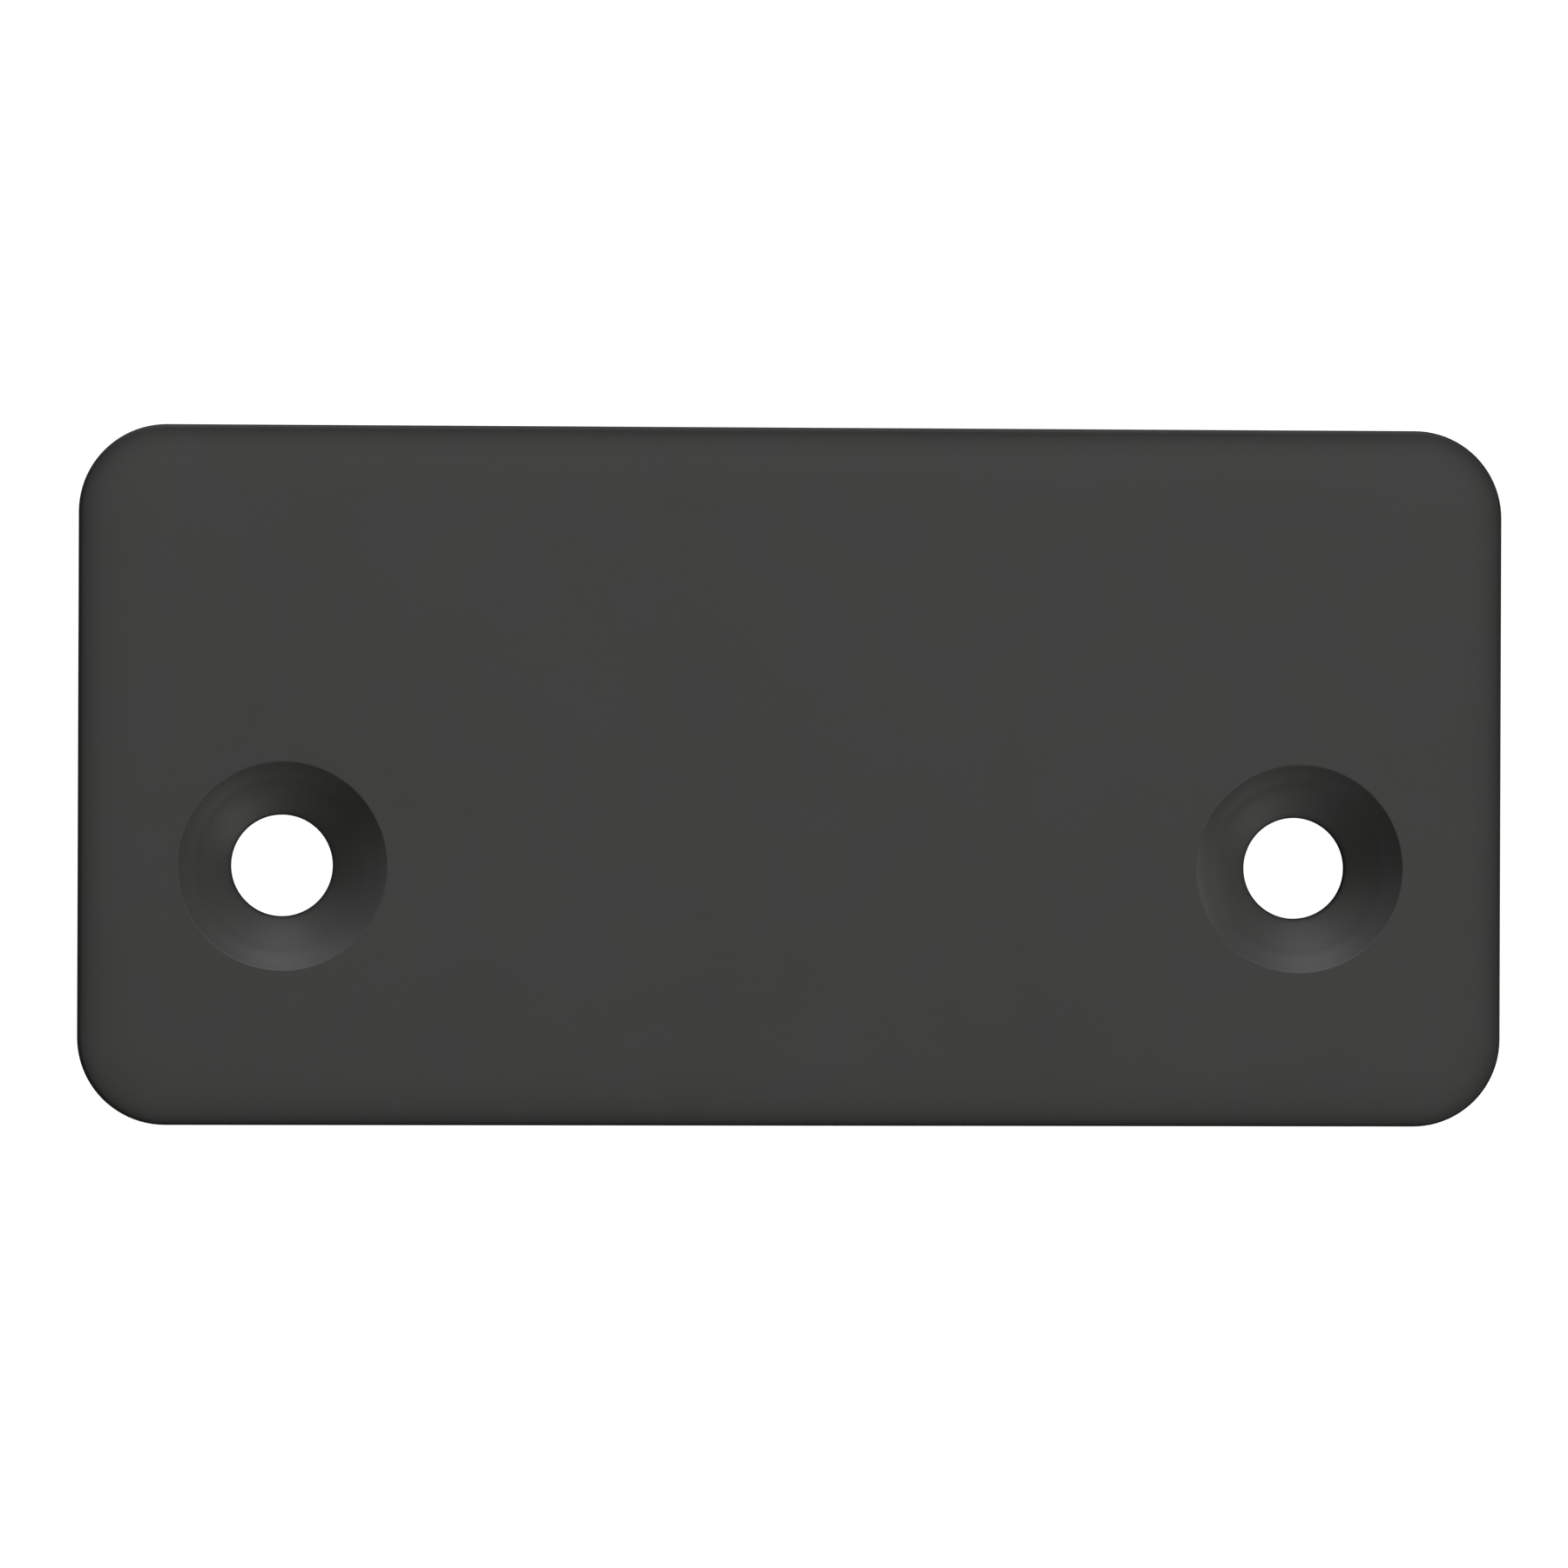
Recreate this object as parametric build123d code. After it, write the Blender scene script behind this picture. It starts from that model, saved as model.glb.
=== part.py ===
from build123d import *
import math
import os

# Overlay door hinge with a concealed knuckle, shown closed.
#
# Frame: X along the hinge pin, +Y away from the door's outer side and into the
# frame it is screwed to, +Z from the screw holes towards the pin.
# Origin: centre of the frame leaf's two-slot pattern, on its mounting face.
# All dimensions in millimetres.

# ---------------------------------------------------------------- leaves
LEAF_T = 3.0            # thickness of both leaves
GAP = 9.0               # clear gap between the closed leaves
Y_BACK = 0.0            # frame leaf, mounting face
Y_FRAME_IN = Y_BACK - LEAF_T        # frame leaf, inner face
Y_DOOR_IN = Y_FRAME_IN - GAP        # door leaf, face that lies on the door
Y_DOOR_OUT = Y_DOOR_IN - LEAF_T     # door leaf, visible face

DOOR_W = 70.0           # door leaf, along the pin
DOOR_Z0, DOOR_Z1 = -12.7, 21.6      # its lower and upper edge
DOOR_R = 4.3            # its corner radius
DOOR_EDGE_R = 0.4       # rounding of its visible edge
DOOR_BACK_R = 0.25      # rounding of the back edge, both leaves

FRAME_W = 66.0
FRAME_Z0, FRAME_Z1 = -11.7, 18.9
FRAME_R = 4.0
FRAME_EDGE_R = 0.5      # rounding of its inner edge

# ---------------------------------------------------------------- holes
HOLE_PITCH = 50.0       # both leaves
HOLE_R = 2.5            # door leaf, 5 mm holes
CSK_R = 5.15            # countersink rim radius, 90 degrees
SLOT_W = 5.5            # frame leaf, width of the slots
SLOT_L = 8.0            # their end-to-end length

# ---------------------------------------------------------------- knuckle
AX_Y = -7.5             # pin axis, half way between the leaves
AX_Z = 16.5
KN_R = 4.2              # knuckle radius: 0.3 clear of the opposite leaf
PIN_R = 2.0
PIN_HALF = 28.5         # half the pin's length
FRAME_LUGS = [(-31.0, -19.4), (-5.8, 5.8), (19.4, 31.0)]
DOOR_LUGS = [(-18.4, -6.8), (6.8, 18.4)]
LUG_CHAMFER = 0.3
LUG_TOP = 1.4           # height of the lug's upper side where it meets the leaf
LUG_FILLET = 0.4        # root fillet between lug and leaf

# ---------------------------------------------------------------- bushes
BUSH_OR = 3.0           # press fit in the door lugs
BUSH_IR = 2.03          # running fit on the pin
BUSH_L = 5.5            # sleeve length
FLANGE_R = 3.9
FLANGE_T = 0.8          # fills most of the 1.0 gap between knuckles

# ---------------------------------------------------------------- caps
CAP_R = 3.7
CAP_T = 0.8
CAP_STEM = 2.2

# ---------------------------------------------------------------- lock screw
SCREW_R = 1.5           # M3
SCREW_TOP = 3.9         # above the pin axis
SCREW_TIP = 0.9
DOG_R = 1.0
DOG_L = 1.2
HEX_AF = 1.5
HEX_DEPTH = 1.1


def slab(width, z0, z1, y_high, thick, r):
    """Rounded plate whose +Y face is at y_high."""
    sk = Plane.XZ.offset(-y_high) * Pos(0, (z0 + z1) / 2) * RectangleRounded(width, z1 - z0, r)
    return extrude(sk, amount=thick)


def lug(profile, x0, x1):
    """Prism along X from a profile drawn in (Y, Z)."""
    return extrude(Plane.YZ.offset(x0) * profile, amount=x1 - x0)


def x_cylinder(r, x0, x1):
    return Plane(origin=(x0, AX_Y, AX_Z), z_dir=(1, 0, 0)) * Cylinder(
        r, x1 - x0, align=(Align.CENTER, Align.CENTER, Align.MIN))


def y_cylinder(x, z, r, y0, y1):
    return Plane(origin=(x, y0, z), z_dir=(0, 1, 0)) * Cylinder(
        r, y1 - y0, align=(Align.CENTER, Align.CENTER, Align.MIN))


def y_cone(x, z, r_low, r_high, y0, y1):
    """Cone frustum along +Y, radius r_low at y0 and r_high at y1."""
    return Plane(origin=(x, y0, z), z_dir=(0, 1, 0)) * Cone(
        r_low, r_high, y1 - y0, align=(Align.CENTER, Align.CENTER, Align.MIN))


def lug_profile(y_face, side):
    """Knuckle lug in (Y, Z): a round nose on the pin axis, a flat underside, and
    an upper side that runs from the nose's tangent point down to the leaf.
    side is +1 for the leaf on the +Y side of the pin and -1 for the other."""
    py, pz = abs(y_face - AX_Y), LUG_TOP
    tan_ang = math.atan2(pz, py) + math.acos(KN_R / math.hypot(py, pz))
    ty, tz = KN_R * math.cos(tan_ang), KN_R * math.sin(tan_ang)
    pts = [(0, 0), (0, -KN_R), (py + 1.0, -KN_R), (py + 1.0, pz), (py, pz), (ty, tz), (0, 0)]
    web = make_face(Polyline(*[(AX_Y + side * y, AX_Z + z) for y, z in pts]))
    return Pos(AX_Y, AX_Z) * Circle(KN_R) + web


def root_edges(leaf, y_face, lugs):
    """Upright edges where the lugs' ends meet the leaf's inner face."""
    return [e for e in leaf.edges().filter_by(Axis.Z)
            if abs(e.center().Y - y_face) < 1e-3
            and AX_Z - KN_R - 0.01 < e.center().Z < AX_Z + LUG_TOP + 0.01
            and any(x0 - 0.01 < e.center().X < x1 + 0.01 for x0, x1 in lugs)]


# ================================================================ door leaf
door_plate = slab(DOOR_W, DOOR_Z0, DOOR_Z1, Y_DOOR_IN, LEAF_T, DOOR_R)
door_plate = fillet(door_plate.faces().sort_by(Axis.Y)[0].edges(), DOOR_EDGE_R)
door_plate = fillet(door_plate.faces().sort_by(Axis.Y)[-1].edges(), DOOR_BACK_R)

front_leaf = door_plate
for x0, x1 in DOOR_LUGS:
    body = lug(lug_profile(Y_DOOR_IN, -1), x0, x1)
    ends = body.faces().filter_by(Plane.YZ).edges().filter_by(GeomType.CIRCLE)
    front_leaf += chamfer(ends, LUG_CHAMFER)
front_leaf = fillet(root_edges(front_leaf, Y_DOOR_IN, DOOR_LUGS), LUG_FILLET)
for x0, x1 in DOOR_LUGS:
    front_leaf -= x_cylinder(BUSH_OR, x0 - 1, x1 + 1)
for sx in (-1, 1):
    x = sx * HOLE_PITCH / 2
    front_leaf -= y_cylinder(x, 0, HOLE_R, Y_DOOR_OUT - 1, Y_DOOR_IN + 1)
    front_leaf -= y_cone(x, 0, CSK_R + 0.5, HOLE_R, Y_DOOR_OUT - 0.5, Y_DOOR_OUT + CSK_R - HOLE_R)

# ================================================================ frame leaf
frame_plate = slab(FRAME_W, FRAME_Z0, FRAME_Z1, Y_BACK, LEAF_T, FRAME_R)
frame_plate = fillet(frame_plate.faces().sort_by(Axis.Y)[0].edges(), FRAME_EDGE_R)
frame_plate = fillet(frame_plate.faces().sort_by(Axis.Y)[-1].edges(), DOOR_BACK_R)

frame_leaf = frame_plate
for x0, x1 in FRAME_LUGS:
    body = lug(lug_profile(Y_FRAME_IN, 1), x0, x1)
    ends = body.faces().filter_by(Plane.YZ).edges().filter_by(GeomType.CIRCLE)
    frame_leaf += chamfer(ends, LUG_CHAMFER)
frame_leaf = fillet(root_edges(frame_leaf, Y_FRAME_IN, FRAME_LUGS), LUG_FILLET)
frame_leaf -= x_cylinder(PIN_R, -40, 40)
frame_leaf -= Plane(origin=(0, AX_Y, AX_Z)) * Cylinder(
    SCREW_R, 6, align=(Align.CENTER, Align.CENTER, Align.MIN))
csk_depth = CSK_R - SLOT_W / 2
for sx in (-1, 1):
    at = Pos(sx * HOLE_PITCH / 2, 0)
    # straight slot, then its 90 degree countersink from the inner face
    slot = extrude(Plane.XZ.offset(-Y_BACK - 1) * at * SlotOverall(SLOT_L, SLOT_W),
                   amount=LEAF_T + 2)
    rim = SlotOverall(SLOT_L + 2 * (csk_depth + 0.5), SLOT_W + 2 * (csk_depth + 0.5))
    root = SlotOverall(SLOT_L, SLOT_W)
    sink = loft([(Plane.XZ.offset(-Y_FRAME_IN + 0.5) * at * rim).face(),
                 (Plane.XZ.offset(-Y_FRAME_IN - csk_depth) * at * root).face()], ruled=True)
    frame_leaf -= slot
    frame_leaf -= sink

# ================================================================ pin
hinge_pin = x_cylinder(PIN_R, -PIN_HALF, PIN_HALF)
hinge_pin = chamfer(hinge_pin.edges().filter_by(GeomType.CIRCLE), 0.3)
hinge_pin -= Plane(origin=(0, AX_Y, AX_Z + SCREW_TIP - 0.05)) * Cylinder(
    DOG_R + 0.05, 3, align=(Align.CENTER, Align.CENTER, Align.MIN))


# ================================================================ bushes
def bush(face_x, into):
    """Flanged bush: flange outside the lug's end face at face_x, sleeve running
    into the lug in the direction 'into' (+1 or -1)."""
    if into > 0:
        b = x_cylinder(BUSH_OR, face_x, face_x + BUSH_L)
        f = x_cylinder(FLANGE_R, face_x - FLANGE_T, face_x)
    else:
        b = x_cylinder(BUSH_OR, face_x - BUSH_L, face_x)
        f = x_cylinder(FLANGE_R, face_x, face_x + FLANGE_T)
    body = b + f
    body = chamfer(body.edges().filter_by(GeomType.CIRCLE).filter_by(
        lambda e: abs(e.radius - FLANGE_R) < 1e-6), 0.15)
    return body - x_cylinder(BUSH_IR, face_x - 10, face_x + 10)


bushes = {
    "bush_left_outer": bush(DOOR_LUGS[0][0], 1),
    "bush_left_inner": bush(DOOR_LUGS[0][1], -1),
    "bush_right_inner": bush(DOOR_LUGS[1][0], 1),
    "bush_right_outer": bush(DOOR_LUGS[1][1], -1),
}


# ================================================================ end caps
def cap(side):
    face_x = FRAME_LUGS[-1][1]
    head = x_cylinder(CAP_R, face_x, face_x + CAP_T)
    head = fillet(head.edges().sort_by(Axis.X)[-1], 0.55)
    stem = x_cylinder(PIN_R, face_x - CAP_STEM, face_x)
    stem = chamfer(stem.edges().sort_by(Axis.X)[0], 0.3)
    body = head + stem
    return body if side > 0 else mirror(body, about=Plane.YZ)


# ================================================================ lock screw
screw_plane = Plane(origin=(0, AX_Y, AX_Z))
shank = screw_plane * Pos(0, 0, SCREW_TIP + DOG_L) * Cylinder(
    SCREW_R, SCREW_TOP - SCREW_TIP - DOG_L, align=(Align.CENTER, Align.CENTER, Align.MIN))
dog = screw_plane * Pos(0, 0, SCREW_TIP) * Cylinder(
    DOG_R, DOG_L, align=(Align.CENTER, Align.CENTER, Align.MIN))
socket = extrude(screw_plane * Pos(0, 0, SCREW_TOP - HEX_DEPTH) * RegularPolygon(
    HEX_AF / 2, 6, major_radius=False), amount=HEX_DEPTH + 1)
pin_lock_screw = shank + dog - socket

# ================================================================ output
nodes = {
    "front_leaf": front_leaf,
    "frame_leaf": frame_leaf,
    "hinge_pin": hinge_pin,
    "end_cap_left": cap(-1),
    "end_cap_right": cap(1),
    "pin_lock_screw": pin_lock_screw,
}
nodes.update(bushes)

os.makedirs("parts", exist_ok=True)
for name, shape in nodes.items():
    solids = shape.solids()
    out = solids[0] if len(solids) == 1 else Compound(children=list(solids))
    export_step(out, "parts/" + name + ".step")
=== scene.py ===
import math

import bmesh
import bpy
from mathutils import Matrix, Vector


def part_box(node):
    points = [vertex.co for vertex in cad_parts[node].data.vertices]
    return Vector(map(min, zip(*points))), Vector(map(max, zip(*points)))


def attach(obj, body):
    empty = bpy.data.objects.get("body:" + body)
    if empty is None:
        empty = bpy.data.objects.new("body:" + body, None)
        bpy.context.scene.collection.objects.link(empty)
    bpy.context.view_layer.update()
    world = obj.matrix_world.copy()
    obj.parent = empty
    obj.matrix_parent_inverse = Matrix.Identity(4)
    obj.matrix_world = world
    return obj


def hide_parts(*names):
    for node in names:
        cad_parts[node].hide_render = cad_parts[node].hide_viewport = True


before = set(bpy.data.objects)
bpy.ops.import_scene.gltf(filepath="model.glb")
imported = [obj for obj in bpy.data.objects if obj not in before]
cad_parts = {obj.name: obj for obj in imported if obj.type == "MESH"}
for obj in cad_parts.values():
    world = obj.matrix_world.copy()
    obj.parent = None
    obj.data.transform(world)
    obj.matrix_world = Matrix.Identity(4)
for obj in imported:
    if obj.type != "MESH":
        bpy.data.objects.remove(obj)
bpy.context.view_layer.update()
scene = bpy.context.scene
MM = 0.001


# ------------------------------------------------------------------ helpers
def new_object(name, bm, material, smooth_deg=32.0):
    bmesh.ops.remove_doubles(bm, verts=bm.verts, dist=1e-8)
    bmesh.ops.recalc_face_normals(bm, faces=bm.faces)
    me = bpy.data.meshes.new(name)
    bm.to_mesh(me)
    bm.free()
    for p in me.polygons:
        p.use_smooth = True
    me.set_sharp_from_angle(angle=math.radians(smooth_deg))
    ob = bpy.data.objects.new(name, me)
    scene.collection.objects.link(ob)
    if material:
        me.materials.append(material)
    return ob


def bridge(bm, a, b):
    n = len(a)
    for i in range(n):
        j = (i + 1) % n
        bm.faces.new((a[i], a[j], b[j], b[i]))


def loop_edges(bm, loop):
    out = []
    for i in range(len(loop)):
        e = bm.edges.get((loop[i], loop[(i + 1) % len(loop)]))
        if e is None:
            e = bm.edges.new((loop[i], loop[(i + 1) % len(loop)]))
        out.append(e)
    return out


def boolean(target, tool, operation):
    """Applies one exact boolean to target's mesh and removes the tool."""
    mod = target.modifiers.new("bool", "BOOLEAN")
    mod.operation = operation
    mod.solver = "EXACT"
    mod.object = tool
    dg = bpy.context.evaluated_depsgraph_get()
    me = bpy.data.meshes.new_from_object(target.evaluated_get(dg))
    target.modifiers.remove(mod)
    old = target.data
    target.data = me
    bpy.data.meshes.remove(old)
    tool_mesh = tool.data
    bpy.data.objects.remove(tool)
    bpy.data.meshes.remove(tool_mesh)


# ---------------------------------------------------------------- materials
class Nodes:
    """Small helper that builds one principled material."""

    def __init__(self, name):
        self.mat = bpy.data.materials.new(name)
        self.mat.use_nodes = True
        self.nt = self.mat.node_tree
        self.bsdf = self.nt.nodes["Principled BSDF"]
        tc = self.nt.nodes.new("ShaderNodeTexCoord")
        self.co = tc.outputs["Object"]

    def stretched(self, sx, sy, sz):
        m = self.nt.nodes.new("ShaderNodeMapping")
        m.inputs["Scale"].default_value = (sx, sy, sz)
        self.nt.links.new(self.co, m.inputs["Vector"])
        return m.outputs["Vector"]

    def noise(self, scale, detail=2.0, rough=0.5, co=None, distortion=0.0):
        n = self.nt.nodes.new("ShaderNodeTexNoise")
        n.inputs["Scale"].default_value = scale
        n.inputs["Detail"].default_value = detail
        n.inputs["Roughness"].default_value = rough
        n.inputs["Distortion"].default_value = distortion
        self.nt.links.new(co or self.co, n.inputs["Vector"])
        return n.outputs["Fac"]

    def voronoi(self, scale, co=None):
        n = self.nt.nodes.new("ShaderNodeTexVoronoi")
        n.feature = "SMOOTH_F1"
        n.inputs["Scale"].default_value = scale
        self.nt.links.new(co or self.co, n.inputs["Vector"])
        return n.outputs["Distance"]

    def remap(self, fac, lo, hi, to_lo, to_hi):
        n = self.nt.nodes.new("ShaderNodeMapRange")
        n.inputs["From Min"].default_value = lo
        n.inputs["From Max"].default_value = hi
        n.inputs["To Min"].default_value = to_lo
        n.inputs["To Max"].default_value = to_hi
        self.nt.links.new(fac, n.inputs["Value"])
        return n.outputs["Result"]

    def math(self, op, a, b):
        n = self.nt.nodes.new("ShaderNodeMath")
        n.operation = op
        for i, v in enumerate((a, b)):
            if isinstance(v, (int, float)):
                n.inputs[i].default_value = v
            else:
                self.nt.links.new(v, n.inputs[i])
        return n.outputs[0]

    def mix(self, fac, a, b):
        n = self.nt.nodes.new("ShaderNodeMix")
        n.data_type = "RGBA"
        self.nt.links.new(fac, n.inputs[0])
        for sock, v in ((n.inputs[6], a), (n.inputs[7], b)):
            if isinstance(v, tuple):
                sock.default_value = (*v, 1.0)
            else:
                self.nt.links.new(v, sock)
        return n.outputs[2]

    def bump(self, height, distance, strength=1.0, normal=None):
        n = self.nt.nodes.new("ShaderNodeBump")
        n.inputs["Strength"].default_value = strength
        n.inputs["Distance"].default_value = distance
        self.nt.links.new(height, n.inputs["Height"])
        if normal is not None:
            self.nt.links.new(normal, n.inputs["Normal"])
        return n.outputs["Normal"]

    def to(self, socket, value):
        self.nt.links.new(value, self.bsdf.inputs[socket])

    def set(self, socket, value):
        self.bsdf.inputs[socket].default_value = value


def edge_shade(m, half_x, half_z, mid_z, radius, front):
    """1 on the open face, less within about 1 mm of the outline and at the lip
    of each hole. The same on every side. It is a painted shade, matched by
    measurement to the dark border of the visible face; it is not a known
    property of the coat."""
    sep = m.nt.nodes.new("ShaderNodeSeparateXYZ")
    m.nt.links.new(m.co, sep.inputs[0])
    x, z = sep.outputs[0], m.math("SUBTRACT", sep.outputs[2], mid_z)
    qx = m.math("SUBTRACT", m.math("ABSOLUTE", x, 0.0), half_x - radius)
    qz = m.math("SUBTRACT", m.math("ABSOLUTE", z, 0.0), half_z - radius)
    px, pz = m.math("MAXIMUM", qx, 0.0), m.math("MAXIMUM", qz, 0.0)
    corner = m.math("SQRT", m.math("ADD", m.math("MULTIPLY", px, px), m.math("MULTIPLY", pz, pz)), 0.0)
    inner = m.math("MINIMUM", m.math("MAXIMUM", qx, qz), 0.0)
    inset = m.math("MAXIMUM", m.math("SUBTRACT", radius, m.math("ADD", corner, inner)), 0.0)
    wide = m.math("EXPONENT", m.math("MULTIPLY", inset, -1.0 / 0.0005), 0.0)
    thin = m.math("EXPONENT", m.math("MULTIPLY", inset, -1.0 / 0.0001), 0.0)
    loss = m.math("ADD", m.math("MULTIPLY", wide, 0.55), m.math("MULTIPLY", thin, 0.15))
    # only on the face and its rounded edge, not down the rim or on the back
    loss = m.math("MULTIPLY", loss, m.remap(sep.outputs[1], front + 0.00025, front + 0.0008, 1.0, 0.0))
    hx = m.math("SUBTRACT", m.math("ABSOLUTE", x, 0.0), 0.025)
    radial = m.math("SQRT", m.math("ADD", m.math("MULTIPLY", hx, hx), m.math("MULTIPLY", sep.outputs[2], sep.outputs[2])), 0.0)
    lip = m.math("EXPONENT", m.math("MULTIPLY", m.math("MAXIMUM", m.math("SUBTRACT", radial, 0.0025), 0.0), -1.0 / 0.00008), 0.0)
    sunk = m.remap(sep.outputs[1], front + 0.00275, front + 0.0029, 0.6, 0.0)
    shade = m.math("MULTIPLY", m.math("SUBTRACT", 1.0, loss), m.math("SUBTRACT", 1.0, m.math("MULTIPLY", lip, sunk)))
    return m.math("MAXIMUM", shade, 0.12)


def powder_coat(name, base, tint, edge=None):
    """Fine matte black powder coat: slow colour drift, fine speckle of the
    pigment, orange peel and a much finer grain. Given edge, it also multiplies
    in the painted shade of edge_shade, which darkens the colour and weakens the
    reflection near the outline and at the lip of each hole."""
    m = Nodes(name)
    slow = m.noise(55.0, 3.0, 0.55)
    cloud = m.noise(420.0, 3.0, 0.6)
    speck = m.noise(9000.0, 1.0, 0.5)
    dark = tuple(c * 0.955 for c in base)
    light = tuple(c * 1.045 * t for c, t in zip(base, tint))
    col = m.mix(m.remap(slow, 0.32, 0.68, 0.0, 1.0), dark, light)
    col2 = m.mix(m.remap(cloud, 0.3, 0.7, 0.0, 1.0), tuple(c * 0.975 for c in base), tuple(c * 1.03 for c in base))
    half = m.nt.nodes.new("ShaderNodeMix")
    half.data_type = "RGBA"
    half.inputs[0].default_value = 0.45
    m.nt.links.new(col, half.inputs[6])
    m.nt.links.new(col2, half.inputs[7])
    tone = m.mix(m.remap(m.noise(330.0, 2.0, 0.5), 0.34, 0.66, 0.0, 1.0), (1.010, 1.0, 0.984), (0.990, 1.0, 1.016))
    toned = m.nt.nodes.new("ShaderNodeMix")
    toned.data_type = "RGBA"
    toned.blend_type = "MULTIPLY"
    toned.inputs[0].default_value = 1.0
    m.nt.links.new(half.outputs[2], toned.inputs[6])
    m.nt.links.new(tone, toned.inputs[7])
    out = toned.outputs[2]
    grain = m.nt.nodes.new("ShaderNodeMix")
    grain.data_type = "RGBA"
    grain.blend_type = "MULTIPLY"
    grain.inputs[0].default_value = 1.0
    m.nt.links.new(out, grain.inputs[6])
    g = m.remap(speck, 0.25, 0.75, 0.965, 1.035)
    # painted shade: darker colour and weaker reflection near the outline and at the lip of each hole
    if edge:
        shade = edge_shade(m, *edge)
        g = m.math("MULTIPLY", g, shade)
        m.to("Specular IOR Level", m.math("MULTIPLY", m.math("MULTIPLY", shade, shade), 0.5))
    m.nt.links.new(g, grain.inputs[7])
    m.to("Base Color", grain.outputs[2])
    rough = m.math("ADD", m.remap(cloud, 0.3, 0.7, 0.50, 0.56), m.remap(speck, 0.25, 0.75, -0.02, 0.02))
    m.to("Roughness", rough)
    peel = m.bump(m.noise(1500.0, 2.0, 0.5), 0.0000022)
    fine = m.bump(m.noise(7000.0, 2.0, 0.55), 0.0000008, normal=peel)
    m.to("Normal", fine)
    m.set("IOR", 1.48)
    return m.mat


def ground_steel(name):
    """Centreless-ground stainless pin: fine rings round the pin's axis."""
    m = Nodes(name)
    rings = m.noise(1.0, 3.0, 0.65, co=m.stretched(16000.0, 500.0, 500.0))
    patch = m.noise(700.0, 3.0, 0.6)
    m.to("Base Color", m.mix(m.remap(patch, 0.3, 0.7, 0.0, 1.0), (0.50, 0.495, 0.48), (0.60, 0.595, 0.585)))
    m.set("Metallic", 1.0)
    m.to("Roughness", m.math("ADD", m.remap(rings, 0.3, 0.7, 0.20, 0.34), m.remap(patch, 0.3, 0.7, -0.03, 0.03)))
    m.to("Normal", m.bump(rings, 0.0000009))
    return m.mat


def black_oxide(name):
    m = Nodes(name)
    patch = m.noise(2200.0, 4.0, 0.6)
    m.to("Base Color", m.mix(m.remap(patch, 0.3, 0.7, 0.0, 1.0), (0.035, 0.036, 0.040), (0.085, 0.080, 0.074)))
    m.set("Metallic", 0.85)
    m.to("Roughness", m.remap(patch, 0.3, 0.7, 0.32, 0.52))
    m.to("Normal", m.bump(m.noise(9000.0, 2.0, 0.6), 0.000001))
    return m.mat


def acetal(name):
    """Natural acetal: milky, slightly translucent, with faint turning rings."""
    m = Nodes(name)
    cloud = m.noise(600.0, 3.0, 0.55)
    rings = m.noise(1.0, 2.0, 0.6, co=m.stretched(9000.0, 300.0, 300.0))
    m.to("Base Color", m.mix(m.remap(cloud, 0.3, 0.7, 0.0, 1.0), (0.60, 0.585, 0.53), (0.70, 0.69, 0.64)))
    m.to("Roughness", m.remap(cloud, 0.3, 0.7, 0.34, 0.46))
    m.set("Subsurface Weight", 0.25)
    m.set("Subsurface Radius", (0.0012, 0.0011, 0.0009))
    m.set("Subsurface Scale", 1.0)
    m.to("Normal", m.bump(rings, 0.0000025))
    return m.mat


def moulded_black(name):
    """Black moulded plastic with a fine spark-eroded grain."""
    m = Nodes(name)
    grain = m.voronoi(5200.0)
    cloud = m.noise(900.0, 3.0, 0.6)
    m.to("Base Color", m.mix(m.remap(cloud, 0.3, 0.7, 0.0, 1.0), (0.026, 0.026, 0.027), (0.038, 0.038, 0.038)))
    m.to("Roughness", m.remap(cloud, 0.3, 0.7, 0.42, 0.54))
    m.to("Normal", m.bump(grain, 0.000006))
    return m.mat


# the cover leaf's coat carries the painted edge shade near its outline and hole lips; the frame's coat has none
COAT = powder_coat("powder_coat_black", (0.0500, 0.0500, 0.0462), (0.99, 1.0, 1.03),
                   edge=(0.0350, 0.01715, 0.00445, 0.0043, -0.0150))
COAT_FRAME = powder_coat("powder_coat_black_frame", (0.0480, 0.0480, 0.0466), (0.99, 1.0, 1.03))
PIN = ground_steel("ground_stainless")
SCREW = black_oxide("black_oxide_steel")
BUSH = acetal("natural_acetal")
CAP = moulded_black("moulded_black")


# ------------------------------------------------------- cover leaf, new mesh
# Plate 70 x 34.3 x 3, corners R4.3, a crown that falls 0.12 over the last 3 mm
# and a rounded front edge; two 5 mm holes with curved countersinks.
lo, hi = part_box("front_leaf")
PX = (hi.x - lo.x) / 2 / MM
Z0, Z1 = lo.z / MM, hi.z / MM
ZC, PZ = (Z0 + Z1) / 2, (Z1 - Z0) / 2
Y_OUT = lo.y / MM
Y_IN = Y_OUT + 3.0
R_CORNER = 4.3
R_EDGE = 0.26
R_BACK = 0.25
CROWN_W, CROWN_H = 3.0, 0.12
HOLE_X, HOLE_R, CSK_R = 25.0, 2.49, 5.09


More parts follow.
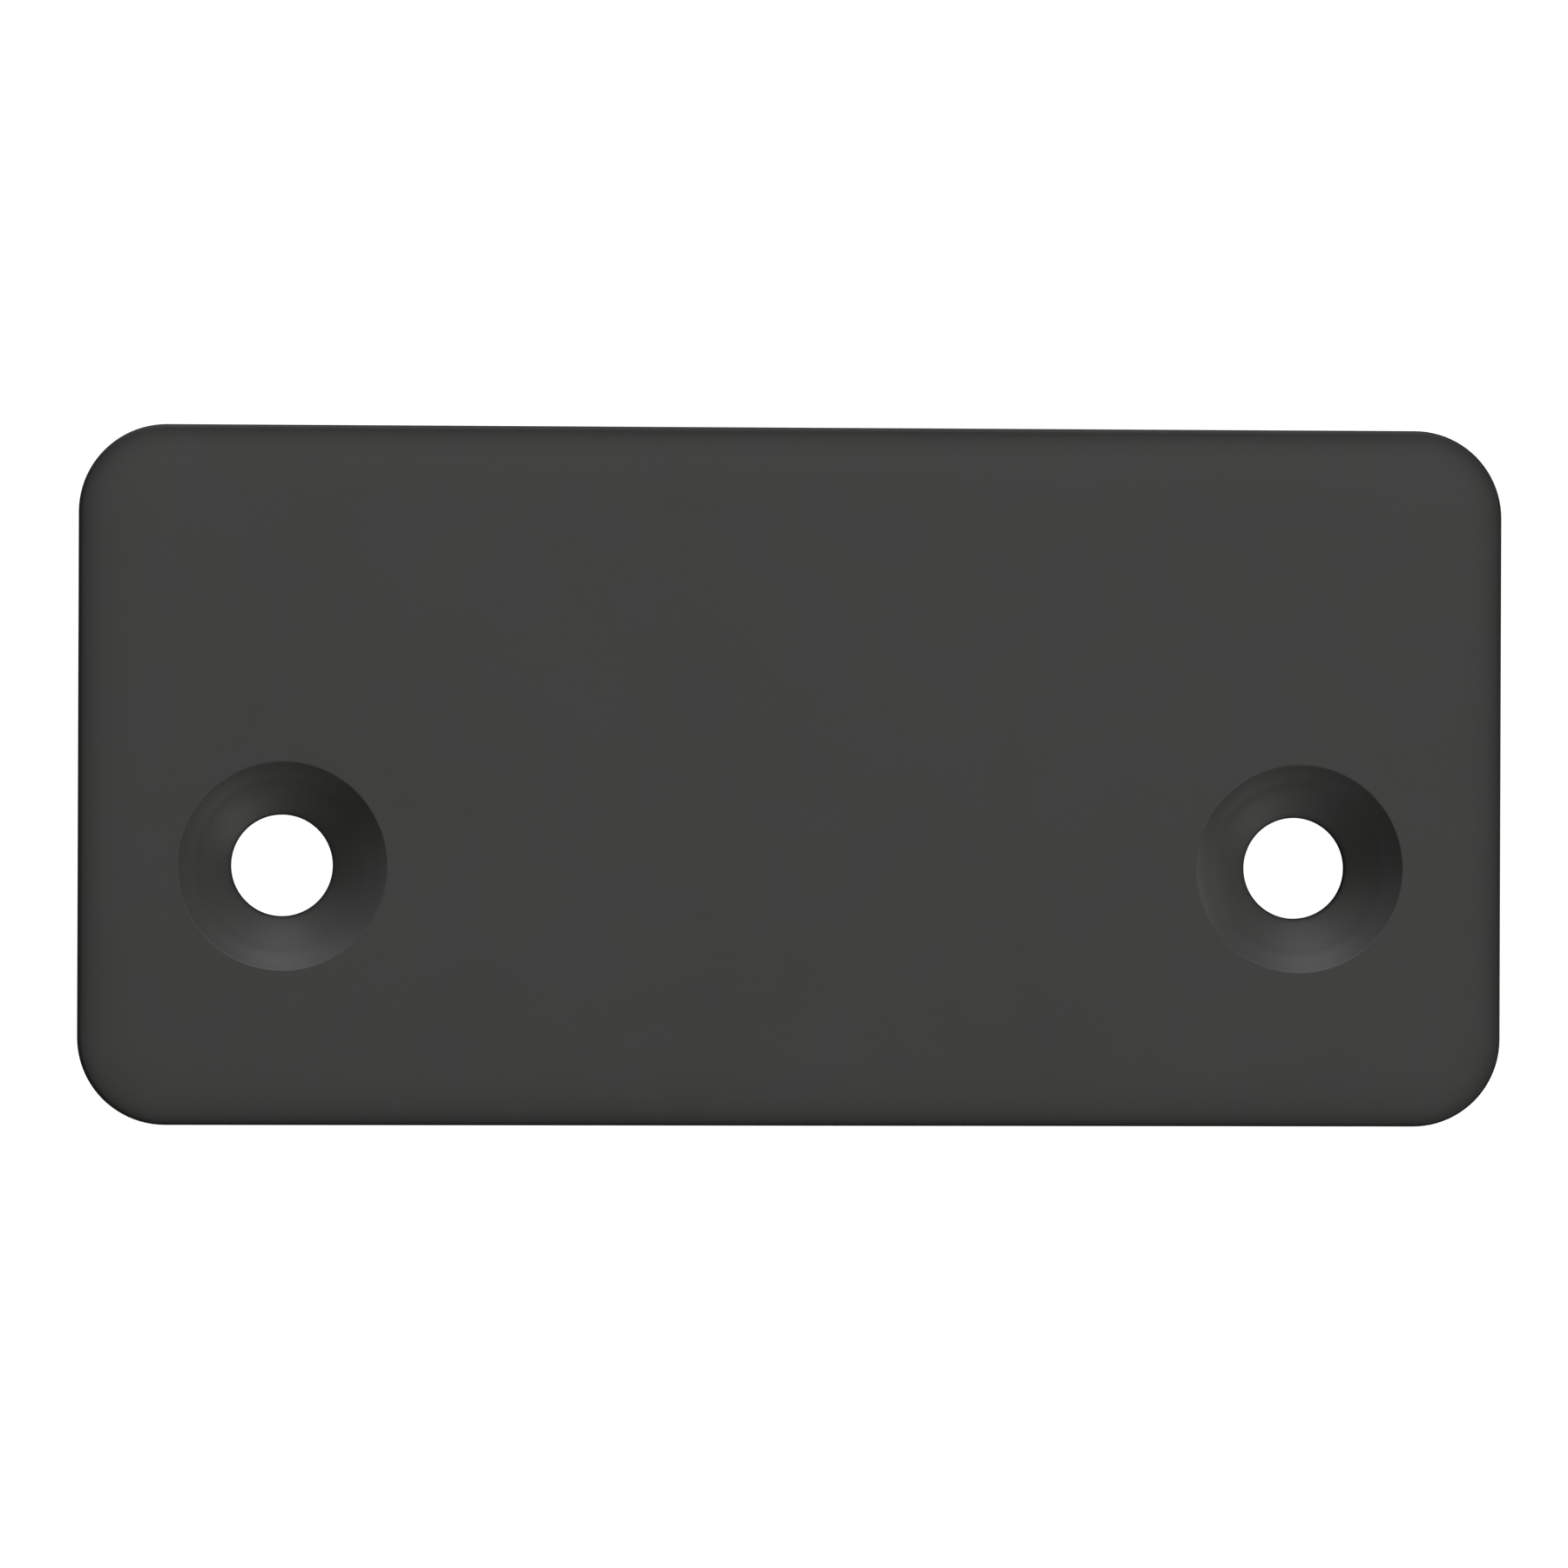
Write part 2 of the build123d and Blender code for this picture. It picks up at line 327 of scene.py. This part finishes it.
def outline(d, n_arc=22, n_long=30, n_short=14):
    """Rounded rectangle, inset by d, as (x, z) in mm, counterclockwise."""
    cx, cz, r = PX - R_CORNER, PZ - R_CORNER, R_CORNER - d
    pts = []
    centres = [(cx, -cz, -90), (cx, cz, 0), (-cx, cz, 90), (-cx, -cz, 180)]
    for k, (ax, az, a0) in enumerate(centres):
        arc = []
        for i in range(n_arc + 1):
            a = math.radians(a0 + 90.0 * i / n_arc)
            arc.append((ax + r * math.cos(a), az + r * math.sin(a)))
        pts += arc
        nx, nz, na = centres[(k + 1) % 4]
        a = math.radians(na)
        end = (nx + r * math.cos(a), nz + r * math.sin(a))
        n = n_short if k % 2 == 0 else n_long
        for i in range(1, n):
            t = i / n
            pts.append((arc[-1][0] * (1 - t) + end[0] * t, arc[-1][1] * (1 - t) + end[1] * t))
    return [(x, z + ZC) for x, z in pts]


def crown(d):
    return CROWN_H * max(0.0, 1.0 - d / CROWN_W) ** 2


def plate_profile():
    """(inset, y) pairs from the flat back, round the edge, to the flat front."""
    prof = [(R_BACK + 0.05, Y_IN)]
    for i in range(6):
        a = math.radians(90.0 * i / 5)
        prof.append((R_BACK * (1 - math.sin(a)), Y_IN - R_BACK * (1 - math.cos(a))))
    slope = 2 * CROWN_H / CROWN_W * (1 - R_EDGE / CROWN_W)
    top = math.pi / 2 - math.atan(slope)
    d_end = R_EDGE * (1 - math.cos(top))
    y_end = Y_OUT + crown(d_end)
    y_c = y_end + R_EDGE * math.sin(top)
    for i in range(13):
        a = top * i / 12
        prof.append((R_EDGE * (1 - math.cos(a)), y_c - R_EDGE * math.sin(a)))
    n = 12
    for i in range(1, n + 1):
        d = d_end + (CROWN_W - d_end) * i / n
        prof.append((d, Y_OUT + crown(d)))
    prof.append((CROWN_W + 0.06, Y_OUT))
    return prof


# wall angle from the plate's face, by radius: gentle at the hole, steeper at
# the rim. The curve and its faint step are a guess from how bright the wall looks.
CSK_WALL = [(2.50, 35.0), (3.18, 38.0), (3.78, 42.0), (4.16, 47.0), (4.46, 44.0), (4.72, 47.0), (5.02, 51.0), (5.15, 53.0)]


def wall_angle(r):
    for (r0, a0), (r1, a1) in zip(CSK_WALL, CSK_WALL[1:]):
        if r <= r1:
            k = (r - r0) / (r1 - r0)
            return a0 + (a1 - a0) * k * k * (3 - 2 * k)
    return CSK_WALL[-1][1]


def csk_profile():
    """(radius, y) pairs from the flat front, down the countersink and the hole,
    to the flat back."""
    rho, rim = 0.07, 0.12
    top = math.radians(CSK_WALL[-1][1])
    prof = [(CSK_R + rho * math.sin(top) + 0.05, Y_OUT)]
    for i in range(6):
        b = top * i / 5
        prof.append((CSK_R + rho * (math.sin(top) - math.sin(b)), Y_OUT + rho * (1 - math.cos(b))))
    r_low = HOLE_R + 0.05
    y, r, n = prof[-1][1], CSK_R, 34
    for i in range(1, n + 1):
        r_next = CSK_R + (r_low - CSK_R) * i / n
        y += (r - r_next) * math.tan(math.radians(wall_angle((r + r_next) / 2)))
        r = r_next
        prof.append((r, y))
    prof.append((HOLE_R + 0.012, y + 0.045))
    prof.append((HOLE_R, y + 0.10))
    prof.append((HOLE_R, Y_IN - rim))
    for i in range(1, 4):
        b = math.radians(30.0 * i)
        prof.append((HOLE_R + rim * (1 - math.cos(b)), Y_IN - rim + rim * math.sin(b)))
    prof.append((HOLE_R + rim + 0.05, Y_IN))
    return prof


def build_plate():
    bm = bmesh.new()
    rings = []
    for d, y in plate_profile():
        rings.append([bm.verts.new((x * MM, y * MM, z * MM)) for x, z in outline(d)])
    for a, b in zip(rings, rings[1:]):
        bridge(bm, a, b)
    seg = 112
    front, back = loop_edges(bm, rings[-1]), loop_edges(bm, rings[0])
    for sx in (-1, 1):
        holes = []
        for r, y in csk_profile():
            holes.append([bm.verts.new(((sx * HOLE_X + r * math.cos(2 * math.pi * i / seg)) * MM, y * MM,
                                        r * math.sin(2 * math.pi * i / seg) * MM)) for i in range(seg)])
        for a, b in zip(holes, holes[1:]):
            bridge(bm, a, b)
        front += loop_edges(bm, holes[0])
        back += loop_edges(bm, holes[-1])
    bmesh.ops.triangle_fill(bm, use_beauty=True, use_dissolve=False, edges=front)
    bmesh.ops.triangle_fill(bm, use_beauty=True, use_dissolve=False, edges=back)
    return bm


AX_Y, AX_Z, KN_R, LUG_TOP = -7.5, 16.5, 4.2, 1.4


def lug_points(inset):
    """Closed (y, z) outline of a cover-leaf lug in mm, inset all round."""
    r = KN_R - inset
    py, pz = abs(Y_IN - AX_Y), LUG_TOP - inset
    tan = math.atan2(pz, py) + math.acos(r / math.hypot(py, pz))
    pts = [(py + 0.7, -r), (py * 0.5, -r)]
    n = 56
    a0, a1 = -math.pi / 2, tan - 2 * math.pi
    for i in range(n + 1):
        a = a0 + (a1 - a0) * i / n
        pts.append((r * math.cos(a), r * math.sin(a)))
    pts += [(py, pz), (py + 0.7, pz)]
    return [(AX_Y - y, AX_Z + z) for y, z in pts]


def build_lug(x0, x1):
    bm = bmesh.new()
    c, rings = 0.3, []
    steps = [(c * (1 - math.cos(a)), c * (1 - math.sin(a))) for a in
             [math.radians(90.0 * i / 5) for i in range(6)]]
    sections = [(x0 + dx, ins) for dx, ins in steps] + [(x1 - dx, ins) for dx, ins in reversed(steps)]
    for x, ins in sections:
        rings.append([bm.verts.new((x * MM, y * MM, z * MM)) for y, z in lug_points(ins)])
    for a, b in zip(rings, rings[1:]):
        bridge(bm, a, b)
    bm.faces.new(rings[0])
    bm.faces.new(rings[-1])
    return bm


def build_bore(x0, x1, r=3.0, seg=96):
    bm = bmesh.new()
    ends = []
    for x in (x0, x1):
        ends.append([bm.verts.new((x * MM, (AX_Y + r * math.cos(2 * math.pi * i / seg)) * MM,
                                   (AX_Z + r * math.sin(2 * math.pi * i / seg)) * MM)) for i in range(seg)])
    bridge(bm, ends[0], ends[1])
    bm.faces.new(ends[0])
    bm.faces.new(ends[1])
    return bm


def root_fillets(ob, radius=0.4):
    """Rounds the inside corner where the lugs meet the plate's inner face."""
    bm = bmesh.new()
    bm.from_mesh(ob.data)
    edges = []
    for e in bm.edges:
        a, b = (v.co / MM for v in e.verts)
        if abs(a.y - Y_IN) > 1e-3 or abs(b.y - Y_IN) > 1e-3 or len(e.link_faces) != 2:
            continue
        n1, n2 = (f.normal for f in e.link_faces)
        mid = (a + b) / 2
        if n1.angle(n2, 0.0) > 0.6 and AX_Z - 5 < mid.z < AX_Z + 3 and abs(mid.x) < 19:
            edges.append(e)
    bmesh.ops.bevel(bm, geom=edges, offset=radius * MM, offset_type="OFFSET", segments=4, profile=0.5,
                    affect="EDGES", clamp_overlap=True)
    bm.to_mesh(ob.data)
    bm.free()


cover = new_object("cover_leaf", build_plate(), COAT)
for x0, x1 in ((-18.4, -6.8), (6.8, 18.4)):
    boolean(cover, new_object("tool", build_lug(x0, x1), COAT), "UNION")
for x0, x1 in ((-19.0, -6.0), (6.0, 19.0)):
    boolean(cover, new_object("tool", build_bore(x0, x1), COAT), "DIFFERENCE")
root_fillets(cover)
for p in cover.data.polygons:
    p.use_smooth = True
cover.data.set_sharp_from_angle(angle=math.radians(32))
cover.data.materials.clear()
cover.data.materials.append(COAT)
wn = cover.modifiers.new("weighted", "WEIGHTED_NORMAL")
wn.keep_sharp = True
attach(cover, "door_leaf")
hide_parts("front_leaf")

# ---------------------------------------------------- finishes on CAD pieces
finish = {
    "frame_leaf": COAT_FRAME,
    "front_leaf": COAT,
    "hinge_pin": PIN,
    "end_cap_left": CAP,
    "end_cap_right": CAP,
    "pin_lock_screw": SCREW,
    "bush_left_outer": BUSH,
    "bush_left_inner": BUSH,
    "bush_right_inner": BUSH,
    "bush_right_outer": BUSH,
}
for name, mat in finish.items():
    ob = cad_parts[name]
    if not ob.data.materials:
        ob.data.materials.append(mat)
    for s in ob.material_slots:
        s.material = mat


# ------------------------------------------------------------------- staging
def white_shell():
    """Pure white surround that only the camera sees, so it lights nothing."""
    bm = bmesh.new()
    bmesh.ops.create_uvsphere(bm, u_segments=48, v_segments=24, radius=2.4)
    ob = new_object("studio_white", bm, None)
    mat = bpy.data.materials.new("studio_white")
    mat.use_nodes = True
    nt = mat.node_tree
    nt.nodes.clear()
    em = nt.nodes.new("ShaderNodeEmission")
    em.inputs["Color"].default_value = (1.0, 1.0, 1.0, 1.0)
    em.inputs["Strength"].default_value = 1.15
    out = nt.nodes.new("ShaderNodeOutputMaterial")
    nt.links.new(em.outputs[0], out.inputs[0])
    ob.data.materials.append(mat)
    for flag in ("visible_diffuse", "visible_glossy", "visible_transmission", "visible_volume_scatter", "visible_shadow"):
        setattr(ob, flag, False)
    return ob


def pale_floor(z):
    """Pale floor well below the part; seen from under, it is clear."""
    bm = bmesh.new()
    bmesh.ops.create_circle(bm, cap_ends=True, segments=96, radius=1.15)
    for v in bm.verts:
        v.co.z = z
    ob = new_object("studio_floor", bm, None)
    if ob.data.polygons[0].normal.z < 0:
        ob.data.flip_normals()
    mat = bpy.data.materials.new("studio_floor")
    mat.use_nodes = True
    nt = mat.node_tree
    nt.nodes.clear()
    em = nt.nodes.new("ShaderNodeEmission")
    em.inputs["Color"].default_value = (1.0, 1.0, 1.0, 1.0)
    em.inputs["Strength"].default_value = 0.97
    di = nt.nodes.new("ShaderNodeBsdfDiffuse")
    di.inputs["Color"].default_value = (0.8, 0.8, 0.8, 1.0)
    add = nt.nodes.new("ShaderNodeAddShader")
    nt.links.new(em.outputs[0], add.inputs[0])
    nt.links.new(di.outputs[0], add.inputs[1])
    geo = nt.nodes.new("ShaderNodeNewGeometry")
    tr = nt.nodes.new("ShaderNodeBsdfTransparent")
    mx = nt.nodes.new("ShaderNodeMixShader")
    nt.links.new(geo.outputs["Backfacing"], mx.inputs[0])
    nt.links.new(add.outputs[0], mx.inputs[1])
    nt.links.new(tr.outputs[0], mx.inputs[2])
    out = nt.nodes.new("ShaderNodeOutputMaterial")
    nt.links.new(mx.outputs[0], out.inputs[0])
    ob.data.materials.append(mat)
    for flag in ("visible_diffuse", "visible_glossy", "visible_transmission", "visible_volume_scatter", "visible_shadow"):
        setattr(ob, flag, False)
    return ob


white_shell()
pale_floor(-0.16)

world = bpy.data.worlds.new("studio")
scene.world = world
world.use_nodes = True
bg = world.node_tree.nodes["Background"]
bg.inputs["Color"].default_value = (1.0, 1.0, 1.0, 1.0)
bg.inputs["Strength"].default_value = 0.01

TARGET = Vector((0.0, Y_OUT * MM, ZC * MM))


def area(name, direction, distance, width, height, radiance, colour=(1.0, 1.0, 1.0), only=None):
    """Soft rectangular light aimed at the part. radiance is its brightness as
    seen from the part, so the power follows from its size."""
    d = Vector(direction).normalized()
    data = bpy.data.lights.new(name, "AREA")
    data.shape = "RECTANGLE"
    data.size, data.size_y = width, height
    data.energy = radiance * width * height * math.pi
    data.color = colour
    ob = bpy.data.objects.new(name, data)
    scene.collection.objects.link(ob)
    ob.location = TARGET + d * distance
    ob.rotation_mode = "QUATERNION"
    ob.rotation_quaternion = d.to_track_quat("Z", "Y")
    ob.visible_camera = False
    if only:
        col = bpy.data.collections.new(name + "_lit")
        for o in only:
            col.objects.link(o)
        ob.light_linking.receiver_collection = col
    return ob


LIGHTS = [
    ("zenith", (0.0, -0.08, 1.0), 0.9, 0.6, 0.6, 6.20, (0.98, 1.0, 1.08)),
    ("upper_front", (0.0, -0.64, 0.77), 0.9, 0.6, 0.6, 0.58),
    ("raised_front", (0.0, -0.906, 0.42), 0.9, 0.6, 0.6, 1.73),
    ("upper_right", (0.6, -0.5, 0.62), 0.9, 0.6, 0.6, 0.93),
    ("upper_left", (-0.6, -0.5, 0.62), 0.9, 0.6, 0.6, 0.85),
    ("front_right", (0.77, -0.64, 0.0), 0.9, 0.6, 0.6, 0.09),
    ("right", (1.0, -0.08, 0.0), 0.9, 0.6, 0.6, 0.37),
    ("lower_front", (0.0, -0.64, -0.77), 0.9, 0.6, 0.6, 0.54),
    ("lower_right", (0.6, -0.5, -0.62), 0.9, 0.6, 0.6, 2.68),
    ("nadir", (0.0, -0.08, -1.0), 0.9, 0.6, 0.6, 0.06),
    ("back_upper", (-0.35, 0.75, 0.56), 0.9, 0.7, 0.6, 3.4),
    ("back_side", (0.80, 0.60, 0.10), 0.9, 0.5, 0.6, 1.6),
    ("back_left", (-0.85, 0.50, 0.05), 0.9, 0.4, 0.6, 1.2),
    ("back_low", (-0.20, 0.80, -0.56), 0.9, 0.7, 0.6, 1.4),
]
for spec in LIGHTS:
    area(*spec)

# ------------------------------------------------------------------- camera
CAM_DIST = 0.460
CAM_AZ = math.radians(-3.4)      # slightly to the part's left
cam_data = bpy.data.cameras.new("camera")
cam = bpy.data.objects.new("camera", cam_data)
scene.collection.objects.link(cam)
cam_data.sensor_width = 36.0
cam_data.lens = 215.22
cam_data.clip_start, cam_data.clip_end = 0.05, 20.0
aim = TARGET + Vector((-0.00043, 0.0, -0.00036))
back = Vector((math.sin(CAM_AZ), -math.cos(CAM_AZ), 0.0))
cam.location = aim + back * CAM_DIST
look = (-back).to_track_quat("-Z", "Y")
roll = Matrix.Rotation(math.radians(0.2), 4, "Z").to_quaternion()
cam.rotation_mode = "QUATERNION"
cam.rotation_quaternion = look @ roll
scene.camera = cam

scene.view_settings.view_transform = "Standard"
scene.view_settings.look = "None"
scene.view_settings.exposure = 0.0
scene.view_settings.gamma = 1.0
